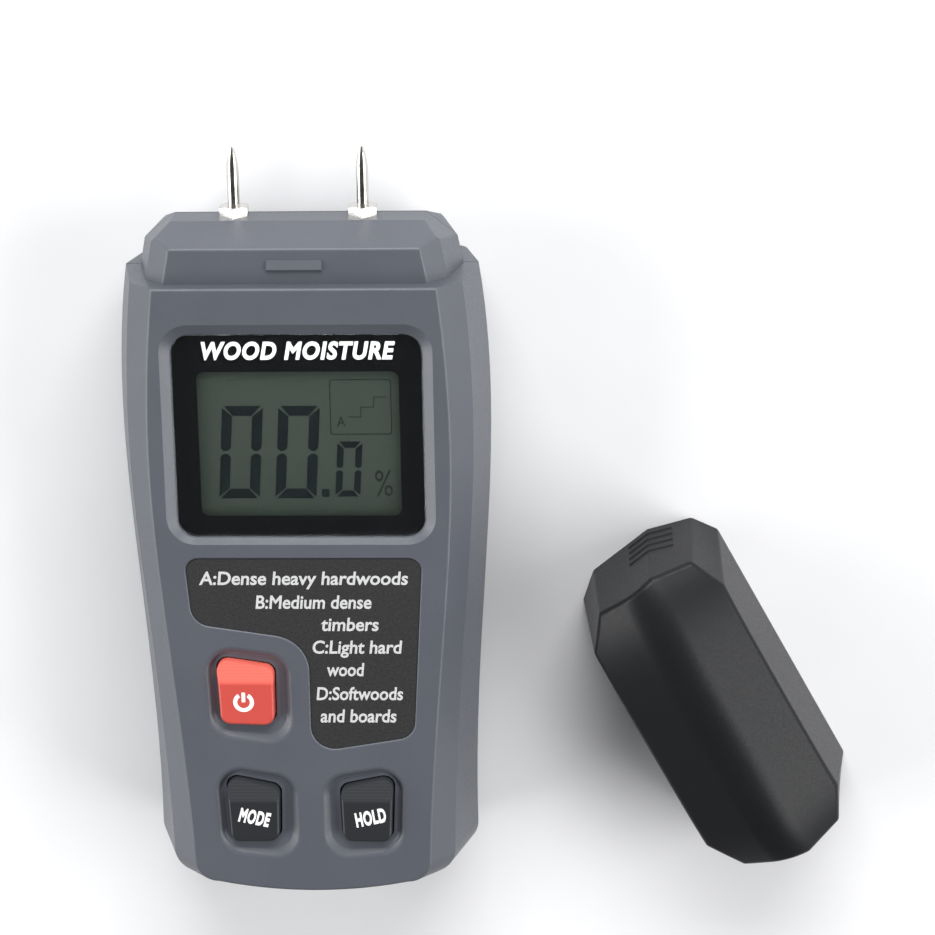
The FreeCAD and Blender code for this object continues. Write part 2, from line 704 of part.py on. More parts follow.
def solder_lug(x):
    """A ring under the nut with a tab bent back towards the board."""
    ring = rod(2.7, at(x, LUG_START, PIN_HEIGHT), at(x, LOCK_NUT_START, PIN_HEIGHT))
    tab = block((x - 1.1, x + 1.1), (LUG_START - 3.6, LOCK_NUT_START), (PIN_HEIGHT + 2.3, PIN_HEIGHT + 2.8))
    hole = rod(THREAD_RADIUS, at(x, LUG_START - 1, PIN_HEIGHT), at(x, LOCK_NUT_START + 1, PIN_HEIGHT))
    return fuse([ring, tab]).cut(hole)


def solder_lugs():
    return Part.makeCompound([solder_lug(-PIN_SPACING / 2), solder_lug(PIN_SPACING / 2)])


def wire(points, bend, radius):
    """A round wire along straight runs joined by tangent arcs of one bend radius."""
    edges = []
    here = points[0]
    for before, corner, after in zip(points, points[1:], points[2:]):
        back = before - corner
        ahead = after - corner
        half_turn = back.getAngle(ahead) / 2
        back.normalize()
        ahead.normalize()
        inward = back + ahead
        inward.normalize()
        start = corner + back * (bend / math.tan(half_turn))
        end = corner + ahead * (bend / math.tan(half_turn))
        middle = corner + inward * (bend / math.sin(half_turn) - bend)
        edges.append(Part.LineSegment(here, start).toShape())
        edges.append(Part.Arc(start, middle, end).toShape())
        here = end
    edges.append(Part.LineSegment(here, points[-1]).toShape())
    path = Part.Wire(edges)
    first = points[1] - points[0]
    ring = Part.Wire([Part.Circle(points[0], first, radius).toShape()])
    tube = path.makePipeShell([ring], True, True)
    print("wire volume ratio", round(tube.Volume / (math.pi * radius ** 2 * path.Length), 4))
    return tube


def probe_lead(side):
    x = side * PIN_SPACING / 2
    z = PIN_HEIGHT + 2.55
    return wire([at(x, LUG_START - 3.6, z), at(x, 102.5, z), at(x, 102.5, BOARD_BOTTOM)], 1.6, 0.55)


# ---- battery ----

def battery():
    width, length, high = BATTERY
    x = (-width / 2, width / 2)
    z = (BATTERY_LOW, BATTERY_LOW + high)
    case = block(x, (BATTERY_START, BATTERY_START + length), z)
    case = soften(case, 2.2, lambda ex, ey, ez, edge: edge.Length > length - 0.1)
    end = BATTERY_START + length
    middle = BATTERY_LOW + high / 2
    round_stud = rod(2.9, at(-6.35, end, middle), at(-6.35, end + TERMINAL_HIGH, middle))
    flower_stud = rod(3.9, at(6.35, end, middle), at(6.35, end + TERMINAL_HIGH, middle))
    flower_stud = flower_stud.cut(rod(2.95, at(6.35, end + 0.4, middle), at(6.35, end + 5, middle)))
    return fuse([case, round_stud, flower_stud])


def battery_snap():
    """The snap connector's moulded body, pushed over both terminals."""
    end = BATTERY_START + BATTERY[1]
    middle = BATTERY_LOW + BATTERY[2] / 2
    body = block((-12.8, 12.8), (end + 0.2, end + 5.2), (middle - 6.2, middle + 6.2))
    body = soften(body, 1.5, lambda x, y, z, edge: abs(edge.Length - 5.0) < 0.01)
    sockets = [rod(3.0, at(-6.35, end, middle), at(-6.35, end + 3.2, middle))]
    sockets.append(rod(4.0, at(6.35, end, middle), at(6.35, end + 3.2, middle)))
    return cut(body, sockets)


def battery_lead(x):
    start = BATTERY_START + BATTERY[1] + 5.2
    z = BATTERY_LOW + BATTERY[2] / 2
    return wire([at(x, start, z), at(x, 68.0, z), at(x, 68.0, BOARD_BOTTOM)], 4.0, 0.65)


# ---- cap ----

def cap_plan(y, narrowing, inset):
    """The cap's outline seen along the pins: the same as the housing's shoulder, with four cut corners."""
    face, bevel, widest = FACE_HALF[-1], BEVEL_HALF[-1], WIDEST_HALF[-1]
    take = narrowing + inset
    face_take = narrowing * CAP_FACE_TAPER + inset * 0.6
    corners = [
        (face - face_take, THICKNESS - take), (bevel - take, THICKNESS - BEVEL_DEEP - narrowing),
        (widest - take, PARTING), (widest - REAR_TUCK * 0.62 - take, BEVEL_DEEP - 1.4 + narrowing),
        (widest - REAR_TUCK - 3.2 - face_take, take),
    ]
    corners += [(-x, z) for x, z in reversed(corners)]
    return polygon([FreeCAD.Vector(x, y, z) for x, z in corners])


def cap_slice(x, crease, ridge):
    """A slice across the roof: two straight slopes that meet in a round crown."""
    low, high, middle = -0.5, THICKNESS + 0.5, THICKNESS / 2
    slope = (ridge - crease) / (high - middle)
    shoulder = ridge - slope * CAP_CROWN_HALF
    top = ridge - slope * CAP_CROWN_HALF * 0.5
    front = [(high, -3), (high, crease), (middle + CAP_CROWN_HALF, shoulder)]
    back = [(middle - CAP_CROWN_HALF, shoulder), (low, crease), (low, -3)]
    front_points = [FreeCAD.Vector(x, y, z) for z, y in front]
    back_points = [FreeCAD.Vector(x, y, z) for z, y in back]
    edges = [Part.LineSegment(start, end).toShape() for start, end in zip(front_points, front_points[1:])]
    edges.append(Part.Arc(front_points[-1], FreeCAD.Vector(x, top, middle), back_points[0]).toShape())
    edges += [Part.LineSegment(start, end).toShape() for start, end in zip(back_points, back_points[1:])]
    edges.append(Part.LineSegment(back_points[-1], front_points[0]).toShape())
    return Part.Wire(edges)


def cap_roof(inset):
    """The roof over the pins: a round crown between two slopes, lower towards both ends."""
    half = CAP_ROOF
    shape = [(-x, crease, ridge) for x, crease, ridge in reversed(half[1:])] + list(half)
    slices = [cap_slice(x, crease - inset, ridge - inset) for x, crease, ridge in shape]
    return Part.makeLoft(slices, True, False)


def cap_block(inset):
    walls = solid_loft([cap_plan(-inset, 0.0, inset), cap_plan(CAP_RIDGE + 1, CAP_TAPER, inset)])
    return walls.common(cap_roof(inset))


def cap_ridges():
    """Four fine raised lines on each end wall, close to the rim."""
    bars = []
    for step in range(4):
        low = 2.5 + 2.75 * step
        lean = CAP_TAPER * low / CAP_RIDGE
        slab = solid_loft([cap_plan(low, lean, -0.25), cap_plan(low + 0.7, lean, 0.1)])
        for side in (-1, 1):
            reach = sorted((side * 28.0, side * 34.0))
            window = Part.makeBox(reach[1] - reach[0], 3.0, 9.0, FreeCAD.Vector(reach[0], low - 1, 7.0))
            bars.append(slab.common(window))
    return bars


def cap_mark():
    """An engraved open triangle with a bar below it, which shows the way the cap pulls off."""
    outer = [(-5.8, 6.4), (5.8, 6.4), (0.0, 13.4)]
    inner = [(-4.6, 6.95), (4.6, 6.95), (0.0, 12.5)]
    bar = [(-5.8, 3.9), (5.8, 3.9), (5.8, 4.5), (-5.8, 4.5)]
    shapes = []
    for corners in (outer, inner, bar):
        points = [FreeCAD.Vector(x, y, THICKNESS - 1.0) for x, y in corners]
        shapes.append(prism(points, FreeCAD.Vector(0, 0, 2.0)))
    depth = solid_loft([cap_plan(0, 0.0, CAP_MARK_DEEP), cap_plan(CAP_RIDGE, CAP_TAPER, CAP_MARK_DEEP)])
    return [shapes[0].cut(shapes[1]).cut(depth), shapes[2].cut(depth)]


def protective_cap():
    """Made with its rim at y = 0 as if on the meter, then stood on its rim beside the meter."""
    outer = soften(cap_block(0.0), CAP_EDGE, lambda x, y, z, edge: y > ORIGIN_UP + 0.5)
    cap = fuse([outer] + cap_ridges())
    cap = cut(cap, [cap_block(CAP_WALL)] + cap_mark())
    cap.translate(FreeCAD.Vector(0, 0, -THICKNESS / 2))
    cap.rotate(FreeCAD.Vector(0, 0, 0), FreeCAD.Vector(1, 0, 0), 90)
    cap.rotate(FreeCAD.Vector(0, 0, 0), FreeCAD.Vector(0, 0, 1), CAP_TURN)
    cap.translate(FreeCAD.Vector(CAP_PLACE[0], CAP_PLACE[1], 0))
    return cap


# ---- write every part ----

def main():
    os.makedirs("parts", exist_ok=True)
    nodes = {
        "front_cover": front_cover(),
        "rear_cover": rear_cover(),
        "battery_door": battery_door(),
        "display_window": display_window(),
        "lcd_glass": lcd_glass(),
        "lcd_frame": lcd_frame(),
        "zebra_connector": zebra_connector(),
        "legend_label": legend_label(),
        "main_board": main_board(),
        "controller_chip": controller_chip(),
        "clock_crystal": clock_crystal(),
        "board_components": board_components(),
        "case_screws": case_screws(),
        "board_screws": board_screws(),
        "probe_pins": probe_pins(),
        "pin_collars": pin_collars(),
        "lock_nuts": lock_nuts(),
        "solder_lugs": solder_lugs(),
        "probe_lead_left": probe_lead(-1),
        "probe_lead_right": probe_lead(1),
        "battery": battery(),
        "battery_snap": battery_snap(),
        "battery_lead_red": battery_lead(4.0),
        "battery_lead_black": battery_lead(-4.0),
        "protective_cap": protective_cap(),
    }
    for name, key in KEYS.items():
        nodes[name + "_key"] = key_cap(key)
        nodes[name + "_switch"] = switch_housing(key)
        nodes[name + "_plunger"] = switch_plunger(key)
    for name, shape in nodes.items():
        state = "valid" if shape.isValid() else "INVALID"
        print(name, state, "solids", len(shape.Solids), round(shape.Volume, 1))
        shape.exportStep("parts/" + name + ".step")


main()
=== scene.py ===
"""Looks of the two-pin moisture meter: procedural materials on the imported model's nodes, printed detail as
pieces of its own, and a plain studio set. Lengths are in metres, in the model's frame."""

import math

import bmesh
import bpy
from mathutils import Matrix, Vector


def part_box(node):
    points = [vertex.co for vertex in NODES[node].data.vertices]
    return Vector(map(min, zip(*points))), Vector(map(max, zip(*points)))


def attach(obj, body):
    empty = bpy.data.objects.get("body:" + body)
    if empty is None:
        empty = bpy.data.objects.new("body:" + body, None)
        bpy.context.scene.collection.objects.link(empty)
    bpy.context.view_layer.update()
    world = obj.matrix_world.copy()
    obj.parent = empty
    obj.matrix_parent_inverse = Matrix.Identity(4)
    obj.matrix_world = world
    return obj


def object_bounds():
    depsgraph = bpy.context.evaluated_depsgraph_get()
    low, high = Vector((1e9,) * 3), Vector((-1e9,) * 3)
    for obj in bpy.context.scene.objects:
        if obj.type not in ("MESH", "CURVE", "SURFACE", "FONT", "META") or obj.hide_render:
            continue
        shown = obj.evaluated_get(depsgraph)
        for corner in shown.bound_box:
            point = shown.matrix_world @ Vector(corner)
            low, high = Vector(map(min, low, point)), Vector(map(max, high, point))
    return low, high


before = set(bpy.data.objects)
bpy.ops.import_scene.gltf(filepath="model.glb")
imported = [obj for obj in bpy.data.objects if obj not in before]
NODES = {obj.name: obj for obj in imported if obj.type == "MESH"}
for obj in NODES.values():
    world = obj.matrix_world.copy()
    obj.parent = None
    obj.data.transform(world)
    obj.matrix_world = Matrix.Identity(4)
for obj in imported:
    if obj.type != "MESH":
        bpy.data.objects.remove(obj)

CAD_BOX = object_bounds()
MM = 0.001

# Heights above the back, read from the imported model.
LABEL_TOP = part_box("legend_label")[1].z
PANE_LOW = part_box("display_window")[0].z
GLASS_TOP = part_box("lcd_glass")[1].z
KEY_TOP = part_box("power_key")[1].z
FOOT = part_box("rear_cover")[0].y          # the bottom end of the housing

PRINT_THICK = 0.03 * MM
PRINT_LIFT = 0.004 * MM                   # keeps a print clear of the face it lies on
LETTER_SIZE = 1.0 * MM                    # before lettering is stretched to its place


def at(x, y, z):
    """A point: x in millimetres off the middle line, y in millimetres from the bottom end, z in metres."""
    return Vector((x * MM, FOOT + y * MM, z))


# ---- node materials ----

# Bump distances.
GRAIN_DEPTH = 0.00004
BRUSH_DEPTH = 0.00003
RIB_DEPTH = 0.00008

# Linear colours.
GREY = (0.075, 0.081, 0.097)
CAP_BLACK = (0.009, 0.0094, 0.0105)
KEY_RED = (0.50, 0.068, 0.053)
# Painted highlight: a lighter red for the key's sloping upper part, standing in for the light that part
# catches.
KEY_RED_PAINTED_HIGHLIGHT = (0.72, 0.130, 0.098)
KEY_BLACK = (0.018, 0.019, 0.022)
# Painted highlight: a lighter black for the keys' sloping upper parts, standing in for the light they catch.
KEY_BLACK_PAINTED_HIGHLIGHT = (0.027, 0.029, 0.033)
NICKEL = (0.70, 0.68, 0.64)
WHITE_INK = (0.86, 0.86, 0.86)
LEGEND_INK = (0.52, 0.52, 0.52)
SEGMENT_INK = (0.004, 0.0065, 0.0075)
FAINT_INK = (0.011, 0.015, 0.013)
BORDER_INK = (0.0022, 0.0022, 0.003)
LCD_LOW, LCD_MIDDLE, LCD_HIGH = (0.023, 0.029, 0.024), (0.028, 0.035, 0.029), (0.029, 0.036, 0.030)
LCD_SPECK = (0.050, 0.062, 0.052)
LABEL_DARK, LABEL_LIGHT = (0.008, 0.008, 0.0085), (0.021, 0.021, 0.0215)
MASK_DARK, MASK_LIGHT, MASK_TRACK = (0.012, 0.085, 0.035), (0.016, 0.105, 0.045), (0.03, 0.16, 0.07)
CAN_DARK, CAN_BAND = (0.03, 0.035, 0.05), (0.42, 0.30, 0.12)
PAPER_DARK, PAPER_LIGHT = (0.70, 0.70, 0.71), (0.72, 0.72, 0.73)

# Where a key's sloping upper part starts, as a share of its length, and how soon the painted highlight on it
# comes in.
KEY_CREASE = 0.62
KEY_FADE = 0.9 * MM


def fill_ramp(ramp, stops):
    """Colour stops, each a place and a linear colour."""
    while len(ramp.elements) < len(stops):
        ramp.elements.new(0.5)
    for element, (place, color) in zip(ramp.elements, stops):
        element.position = place
        element.color = (*color, 1.0)


class Shader:
    """A small helper around one node material."""

    def __init__(self, name):
        self.material = bpy.data.materials.new(name)
        self.material.use_nodes = True
        self.tree = self.material.node_tree
        self.body = self.tree.nodes["Principled BSDF"]
        self.place = self.add("ShaderNodeTexCoord").outputs["Object"]

    def add(self, kind, **settings):
        node = self.tree.nodes.new(kind)
        for key, value in settings.items():
            setattr(node, key, value)
        return node

    def link(self, source, target):
        self.tree.links.new(source, target)

    def set(self, **values):
        for key, value in values.items():
            self.body.inputs[key.replace("_", " ")].default_value = value

    def noise(self, scale, detail=3.0, roughness=0.5, place=None):
        node = self.add("ShaderNodeTexNoise")
        node.inputs["Scale"].default_value = scale
        node.inputs["Detail"].default_value = detail
        node.inputs["Roughness"].default_value = roughness
        self.link(place or self.place, node.inputs["Vector"])
        return node.outputs["Fac"]

    def ramp(self, source, stops):
        node = self.add("ShaderNodeValToRGB")
        fill_ramp(node.color_ramp, stops)
        self.link(source, node.inputs["Fac"])
        return node.outputs["Color"]

    def span(self, source, low, high, to_low, to_high):
        node = self.add("ShaderNodeMapRange")
        node.inputs["From Min"].default_value = low
        node.inputs["From Max"].default_value = high
        node.inputs["To Min"].default_value = to_low
        node.inputs["To Max"].default_value = to_high
        self.link(source, node.inputs["Value"])
        return node.outputs["Result"]

    def blend(self, amount, first, second):
        """Two colours, or colour sockets, mixed by a socket."""
        node = self.add("ShaderNodeMix", data_type="RGBA")
        self.link(amount, node.inputs[0])
        for value, socket in ((first, node.inputs[6]), (second, node.inputs[7])):
            if isinstance(value, tuple):
                socket.default_value = (*value, 1.0)
            else:
                self.link(value, socket)
        return node.outputs[2]

    def bump(self, height, strength, distance, before=None):
        node = self.add("ShaderNodeBump")
        node.inputs["Strength"].default_value = strength
        node.inputs["Distance"].default_value = distance
        self.link(height, node.inputs["Height"])
        if before is not None:
            self.link(before, node.inputs["Normal"])
        return node.outputs["Normal"]


def moulded(name, color, rough, grain=0.05, mottle=0.03, specular=0.5):
    """Injection-moulded plastic: spark-eroded grain and faint mottling."""
    shader = Shader(name)
    light = tuple(min(1.0, part * (1 + mottle)) for part in color)
    dark = tuple(part * (1 - mottle) for part in color)
    cloudy = shader.ramp(shader.noise(90.0, 4.0), [(0.35, dark), (0.65, light)])
    shader.link(cloudy, shader.body.inputs["Base Color"])
    fine = shader.noise(2600.0, 2.0)
    shader.link(shader.span(fine, 0.3, 0.7, rough - 0.05, rough + 0.06), shader.body.inputs["Roughness"])
    shader.link(shader.bump(fine, grain, GRAIN_DEPTH), shader.body.inputs["Normal"])
    shader.set(Specular_IOR_Level=specular)
    return shader.material


def metal(name, color, rough, brush=0.0, tarnish=0.1):
    """Plated metal with a faint turned or drawn grain and slight tarnish."""
    shader = Shader(name)
    dull = tuple(part * (1 - tarnish) for part in color)
    patches = shader.noise(400.0, 5.0, 0.6)
    shader.link(shader.ramp(patches, [(0.4, dull), (0.62, color)]), shader.body.inputs["Base Color"])
    varied = shader.span(patches, 0.3, 0.7, rough * 0.8, rough * 1.4)
    shader.link(varied, shader.body.inputs["Roughness"])
    stretch = shader.add("ShaderNodeMapping")
    stretch.inputs["Scale"].default_value = (1.0, 40.0, 1.0)
    shader.link(shader.place, stretch.inputs["Vector"])
    lines = shader.noise(700.0, 2.0, 0.5, stretch.outputs["Vector"])
    shader.link(shader.bump(lines, brush, BRUSH_DEPTH), shader.body.inputs["Normal"])
    shader.set(Metallic=1.0)
    return shader.material


def window_clear():
    """Clear acrylic that lets lamps through, so that the display behind it is lit."""
    shader = Shader("clear_acrylic")
    shader.set(Base_Color=(0.93, 0.96, 0.95, 1.0), Transmission_Weight=1.0, IOR=1.49)
    smears = shader.noise(60.0, 3.0)
    shader.link(shader.span(smears, 0.3, 0.8, 0.0, 0.02), shader.body.inputs["Roughness"])
    path = shader.add("ShaderNodeLightPath")
    open_way = shader.add("ShaderNodeBsdfTransparent")
    open_way.inputs["Color"].default_value = (0.93, 0.95, 0.94, 1.0)
    either = shader.add("ShaderNodeMixShader")
    shader.link(path.outputs["Is Shadow Ray"], either.inputs[0])
    shader.link(shader.body.outputs[0], either.inputs[1])
    shader.link(open_way.outputs[0], either.inputs[2])
    shader.link(either.outputs[0], shader.tree.nodes["Material Output"].inputs["Surface"])
    return shader.material


def liquid_crystal():
    """The reflective panel: grey-green, a little darker towards its lower edge, faintly speckled."""
    shader = Shader("lcd_panel")
    low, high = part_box("lcd_glass")
    parts = shader.add("ShaderNodeSeparateXYZ")
    shader.link(shader.place, parts.inputs[0])
    height = shader.span(parts.outputs["Y"], low.y, high.y, 0.0, 1.0)
    tone = shader.ramp(height, [(0.1, LCD_LOW), (0.45, LCD_MIDDLE), (0.95, LCD_HIGH)])
    film = shader.noise(3500.0, 2.0)
    speckled = shader.blend(shader.span(film, 0.35, 0.65, 0.0, 0.03), tone, LCD_SPECK)
    shader.link(speckled, shader.body.inputs["Base Color"])
    shader.set(Roughness=0.26)
    return shader.material


def label_film():
    """Charcoal printed film with a fine pebbled grain."""
    shader = Shader("label_film")
    pebbles = shader.noise(2600.0, 4.0, 0.7)
    speckle = shader.ramp(pebbles, [(0.36, LABEL_DARK), (0.66, LABEL_LIGHT)])
    shader.link(speckle, shader.body.inputs["Base Color"])
    shader.link(shader.bump(pebbles, 0.3, GRAIN_DEPTH), shader.body.inputs["Normal"])
    shader.set(Roughness=0.62)
    return shader.material


def printed(name, color, rough=0.5):
    """Screen-printed ink with tiny density changes."""
    shader = Shader(name)
    thin = tuple(part * 0.86 for part in color)
    density = shader.noise(1800.0, 3.0)
    shader.link(shader.ramp(density, [(0.3, thin), (0.6, color)]), shader.body.inputs["Base Color"])
    shader.set(Roughness=rough)
    return shader.material


def key_plastic(name, color, painted_highlight_color, rough, node):
    """A key's plastic: fine grain, and on its sloping upper part fine cross ribs and a painted highlight, a
    lighter tone for the light that part catches.
    """
    shader = Shader(name)
    low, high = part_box(node)
    crease = low.y + (high.y - low.y) * KEY_CREASE
    parts = shader.add("ShaderNodeSeparateXYZ")
    shader.link(shader.place, parts.inputs[0])
    # The sloping upper part's mask: it places the cross ribs and the painted highlight.
    upper = shader.span(parts.outputs["Y"], crease, crease + KEY_FADE, 0.0, 1.0)
    fine = shader.noise(2400.0, 2.0)
    mottled = shader.ramp(fine, [(0.3, tuple(part * 0.94 for part in color)), (0.7, color)])
    # Painted highlight: the upper part takes the lighter colour.
    shader.link(shader.blend(upper, mottled, painted_highlight_color), shader.body.inputs["Base Color"])
    waves = shader.add("ShaderNodeTexWave", wave_type="BANDS", bands_direction="Y")
    waves.inputs["Scale"].default_value = 520.0
    waves.inputs["Distortion"].default_value = 0.6
    shader.link(shader.place, waves.inputs["Vector"])
    ribs = shader.add("ShaderNodeMath", operation="MULTIPLY")
    shader.link(waves.outputs["Fac"], ribs.inputs[0])
    shader.link(upper, ribs.inputs[1])
    grain = shader.bump(fine, 0.05, GRAIN_DEPTH)
    shader.link(shader.bump(ribs.outputs[0], 0.2, RIB_DEPTH, grain), shader.body.inputs["Normal"])
    shader.set(Roughness=rough)
    return shader.material


def circuit_board():
    """Green solder mask with copper tracks showing through it."""
    shader = Shader("solder_mask")
    cells = shader.add("ShaderNodeTexBrick")
    cells.inputs["Scale"].default_value = 260.0
    cells.inputs["Mortar Size"].default_value = 0.06
    for socket, color in (("Color1", MASK_DARK), ("Color2", MASK_LIGHT), ("Mortar", MASK_TRACK)):
        cells.inputs[socket].default_value = (*color, 1.0)
    shader.link(shader.place, cells.inputs["Vector"])
    shader.link(cells.outputs["Color"], shader.body.inputs["Base Color"])
    shader.link(shader.bump(cells.outputs["Fac"], 0.2, BRUSH_DEPTH), shader.body.inputs["Normal"])
    shader.set(Roughness=0.28)
    return shader.material


def battery_can():
    """A plain printed steel can: dark body, lighter band at the terminal end."""
    shader = Shader("battery_can")
    low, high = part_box("battery")
    parts = shader.add("ShaderNodeSeparateXYZ")
    shader.link(shader.place, parts.inputs[0])
    along = shader.span(parts.outputs["Y"], low.y, high.y, 0.0, 1.0)
    bands = shader.ramp(along, [(0.0, CAN_DARK), (0.70, CAN_DARK), (0.72, CAN_BAND)])
    shader.link(bands, shader.body.inputs["Base Color"])
    scuffs = shader.noise(300.0, 5.0)
    shader.link(shader.span(scuffs, 0.3, 0.7, 0.28, 0.45), shader.body.inputs["Roughness"])
    shader.set(Metallic=0.4)
    return shader.material


def dress(node, material):
    """Give a node one material all over."""
    mesh = NODES[node].data
    mesh.materials.clear()
    mesh.materials.append(material)
    for polygon in mesh.polygons:
        polygon.material_index = 0


def dress_nodes():
    """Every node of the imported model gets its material."""
    housing = moulded("grey_housing", GREY, 0.42, grain=0.06)
    for node in ("front_cover", "rear_cover", "battery_door"):
        dress(node, housing)
    dress("protective_cap", moulded("black_cap", CAP_BLACK, 0.38, grain=0.08, specular=0.18))
    dress("display_window", window_clear())
    dress("lcd_glass", liquid_crystal())
    dress("legend_label", label_film())
    dress("power_key", key_plastic("red_key", KEY_RED, KEY_RED_PAINTED_HIGHLIGHT, 0.36, "power_key"))
    for node in ("mode_key", "hold_key"):
        dress(node, key_plastic("black_" + node, KEY_BLACK, KEY_BLACK_PAINTED_HIGHLIGHT, 0.42, node))
    nickel = metal("nickel_plate", NICKEL, 0.16, brush=0.15)
    for node in ("probe_pins", "pin_collars", "lock_nuts"):
        dress(node, nickel)
    zinc = metal("zinc_plate", (0.52, 0.53, 0.54), 0.32, brush=0.3, tarnish=0.2)
    for node in ("case_screws", "board_screws"):
        dress(node, zinc)
    tin = metal("tin_plate", (0.68, 0.67, 0.64), 0.34, brush=0.1, tarnish=0.15)
    for node in ("solder_lugs", "clock_crystal"):
        dress(node, tin)
    dress("main_board", circuit_board())
    dress("battery", battery_can())
    chip = moulded("chip_epoxy", (0.015, 0.015, 0.016), 0.5, grain=0.1)
    for node in ("controller_chip", "board_components", "power_switch", "mode_switch", "hold_switch"):
        dress(node, chip)
    white = moulded("white_nylon", (0.68, 0.68, 0.65), 0.45, grain=0.04)
    for node in ("lcd_frame", "power_plunger", "mode_plunger", "hold_plunger"):
        dress(node, white)
    dress("zebra_connector", moulded("pink_silicone", (0.62, 0.26, 0.28), 0.6, grain=0.04))
    dress("battery_snap", moulded("black_moulding", (0.02, 0.02, 0.02), 0.5))
    pvc_white = moulded("white_pvc", (0.66, 0.66, 0.63), 0.4, grain=0.02)
    dress("probe_lead_left", pvc_white)
    dress("probe_lead_right", pvc_white)
    dress("battery_lead_red", moulded("red_pvc", (0.5, 0.02, 0.015), 0.4, grain=0.02))
    dress("battery_lead_black", moulded("black_pvc", (0.015, 0.015, 0.015), 0.4, grain=0.02))


# ---- pieces ----

def new_object(name, mesh, material, body):
    """A piece of its own, in one material, that moves with a body."""
    thing = bpy.data.objects.new(name, mesh)
    bpy.context.collection.objects.link(thing)
    mesh.materials.clear()
    mesh.materials.append(material)
    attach(thing, body)


def mesh_from(curve, name):
    """A curve's mesh. The object that it takes to make one is removed again."""
    maker = bpy.data.objects.new(name, curve)
    bpy.context.collection.objects.link(maker)
    bpy.context.view_layer.update()
    mesh = bpy.data.meshes.new_from_object(maker.evaluated_get(bpy.context.evaluated_depsgraph_get()))
    bpy.data.objects.remove(maker)
    return mesh


def lettering(text, spacing, shear, bold):
    """Flat lettering as a mesh, lying in the XY plane with its left end at the origin."""
    curve = bpy.data.curves.new("lettering", "FONT")
    curve.body = text
    curve.size = LETTER_SIZE
    curve.shear = shear
    curve.space_character = spacing
    curve.offset = bold * MM
    curve.extrude = PRINT_THICK / 2
    curve.resolution_u = 4
    return mesh_from(curve, "lettering")


def reach_of(mesh):
    """Lettering's left and right ends, and its top above the base line."""
    across = [vertex.co.x for vertex in mesh.vertices]
    return min(across), max(across), max(vertex.co.y for vertex in mesh.vertices)


def fitted_text(text, left, right, base, height, spacing=1.0, shear=0.0, bold=0.0):
    """Lettering squeezed or stretched to fill from left to right, in millimetres, on a base line."""
    mesh = lettering(text, spacing, shear, bold)
    low, high, top = reach_of(mesh)
    scale_x = (right - left) * MM / (high - low)
    scale_y = height / top * MM
    mesh.transform(Matrix.Diagonal((scale_x, scale_y, 1.0, 1.0)))
    mesh.transform(Matrix.Translation((left * MM - low * scale_x, FOOT + base * MM, 0.0)))
    return mesh


def raised(mesh, height):
    """A print laid on a face at this height."""
    mesh.transform(Matrix.Translation((0.0, 0.0, height + PRINT_LIFT + PRINT_THICK / 2)))
    return mesh


def flat_shape(outlines):
    """A thin plate from closed outlines in millimetres; inner outlines are holes."""
    curve = bpy.data.curves.new("outline", "CURVE")
    curve.dimensions = "2D"
    curve.fill_mode = "BOTH"
    curve.extrude = PRINT_THICK / 2
    for points in outlines:
        spline = curve.splines.new("POLY")
        spline.points.add(len(points) - 1)
        for point, (x, y) in zip(spline.points, points):
            point.co = (x * MM, FOOT + y * MM, 0.0, 1.0)
        spline.use_cyclic_u = True
    return mesh_from(curve, "outline")


def rounded_box(middle, size, radius, steps=8):
    """A rounded rectangle's outline."""
    points = []
    half_x, half_y = size[0] / 2 - radius, size[1] / 2 - radius
    for quarter, (side_x, side_y) in enumerate(((1, 1), (-1, 1), (-1, -1), (1, -1))):
        for step in range(steps + 1):
            angle = math.radians(90 * (quarter + step / steps))
            x = middle[0] + side_x * half_x + radius * math.cos(angle)
            y = middle[1] + side_y * half_y + radius * math.sin(angle)
            points.append((x, y))
    return points


# ---- display ----

# In millimetres, except for what is multiplied by MM.
VIEW = (36.0, 27.0)                       # the clear part inside the black border
VIEW_MIDDLE = 86.7
VIEW_CORNER = 1.4
BORDER_CORNER = 3.5
BORDER_PLAY = 0.1                         # how much smaller than the pane the border is
BORDER_DROP = 0.05 * MM                   # both prints lie under the pane, the title over the border
TITLE_DROP = 0.02 * MM

# Zeros: left end, base line, width, height and width of a bar.
ZEROS = (
    (-14.9, 76.1, 7.3, 17.4, 1.85),
    (-4.8, 76.1, 7.4, 17.4, 1.85),
    (6.0, 76.4, 4.5, 10.4, 1.2),
)
ZERO_LEAN = 0.067
BAR_GAP = 0.12


def window_border(ink):
    """The black frame printed on the back of the pane."""
    low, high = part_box("display_window")
    size = ((high.x - low.x) / MM - BORDER_PLAY, (high.y - low.y) / MM - BORDER_PLAY)
    middle = ((low.x + high.x) / 2 / MM, ((low.y + high.y) / 2 - FOOT) / MM)
    outside = rounded_box(middle, size, BORDER_CORNER)
    mesh = flat_shape([outside, rounded_box((0, VIEW_MIDDLE), VIEW, VIEW_CORNER)])
    mesh.transform(Matrix.Translation((0, 0, PANE_LOW - BORDER_DROP)))
    new_object("window_border", mesh, ink, "meter")


def title(ink):
    """The line of capitals over the display."""
    mesh = fitted_text("WOOD MOISTURE", left=-16.9, right=17.5, base=102.6, height=3.2,
                       spacing=1.12, shear=0.22, bold=0.04)
    mesh.transform(Matrix.Translation((0, 0, PANE_LOW - TITLE_DROP)))
    new_object("window_title", mesh, ink, "meter")


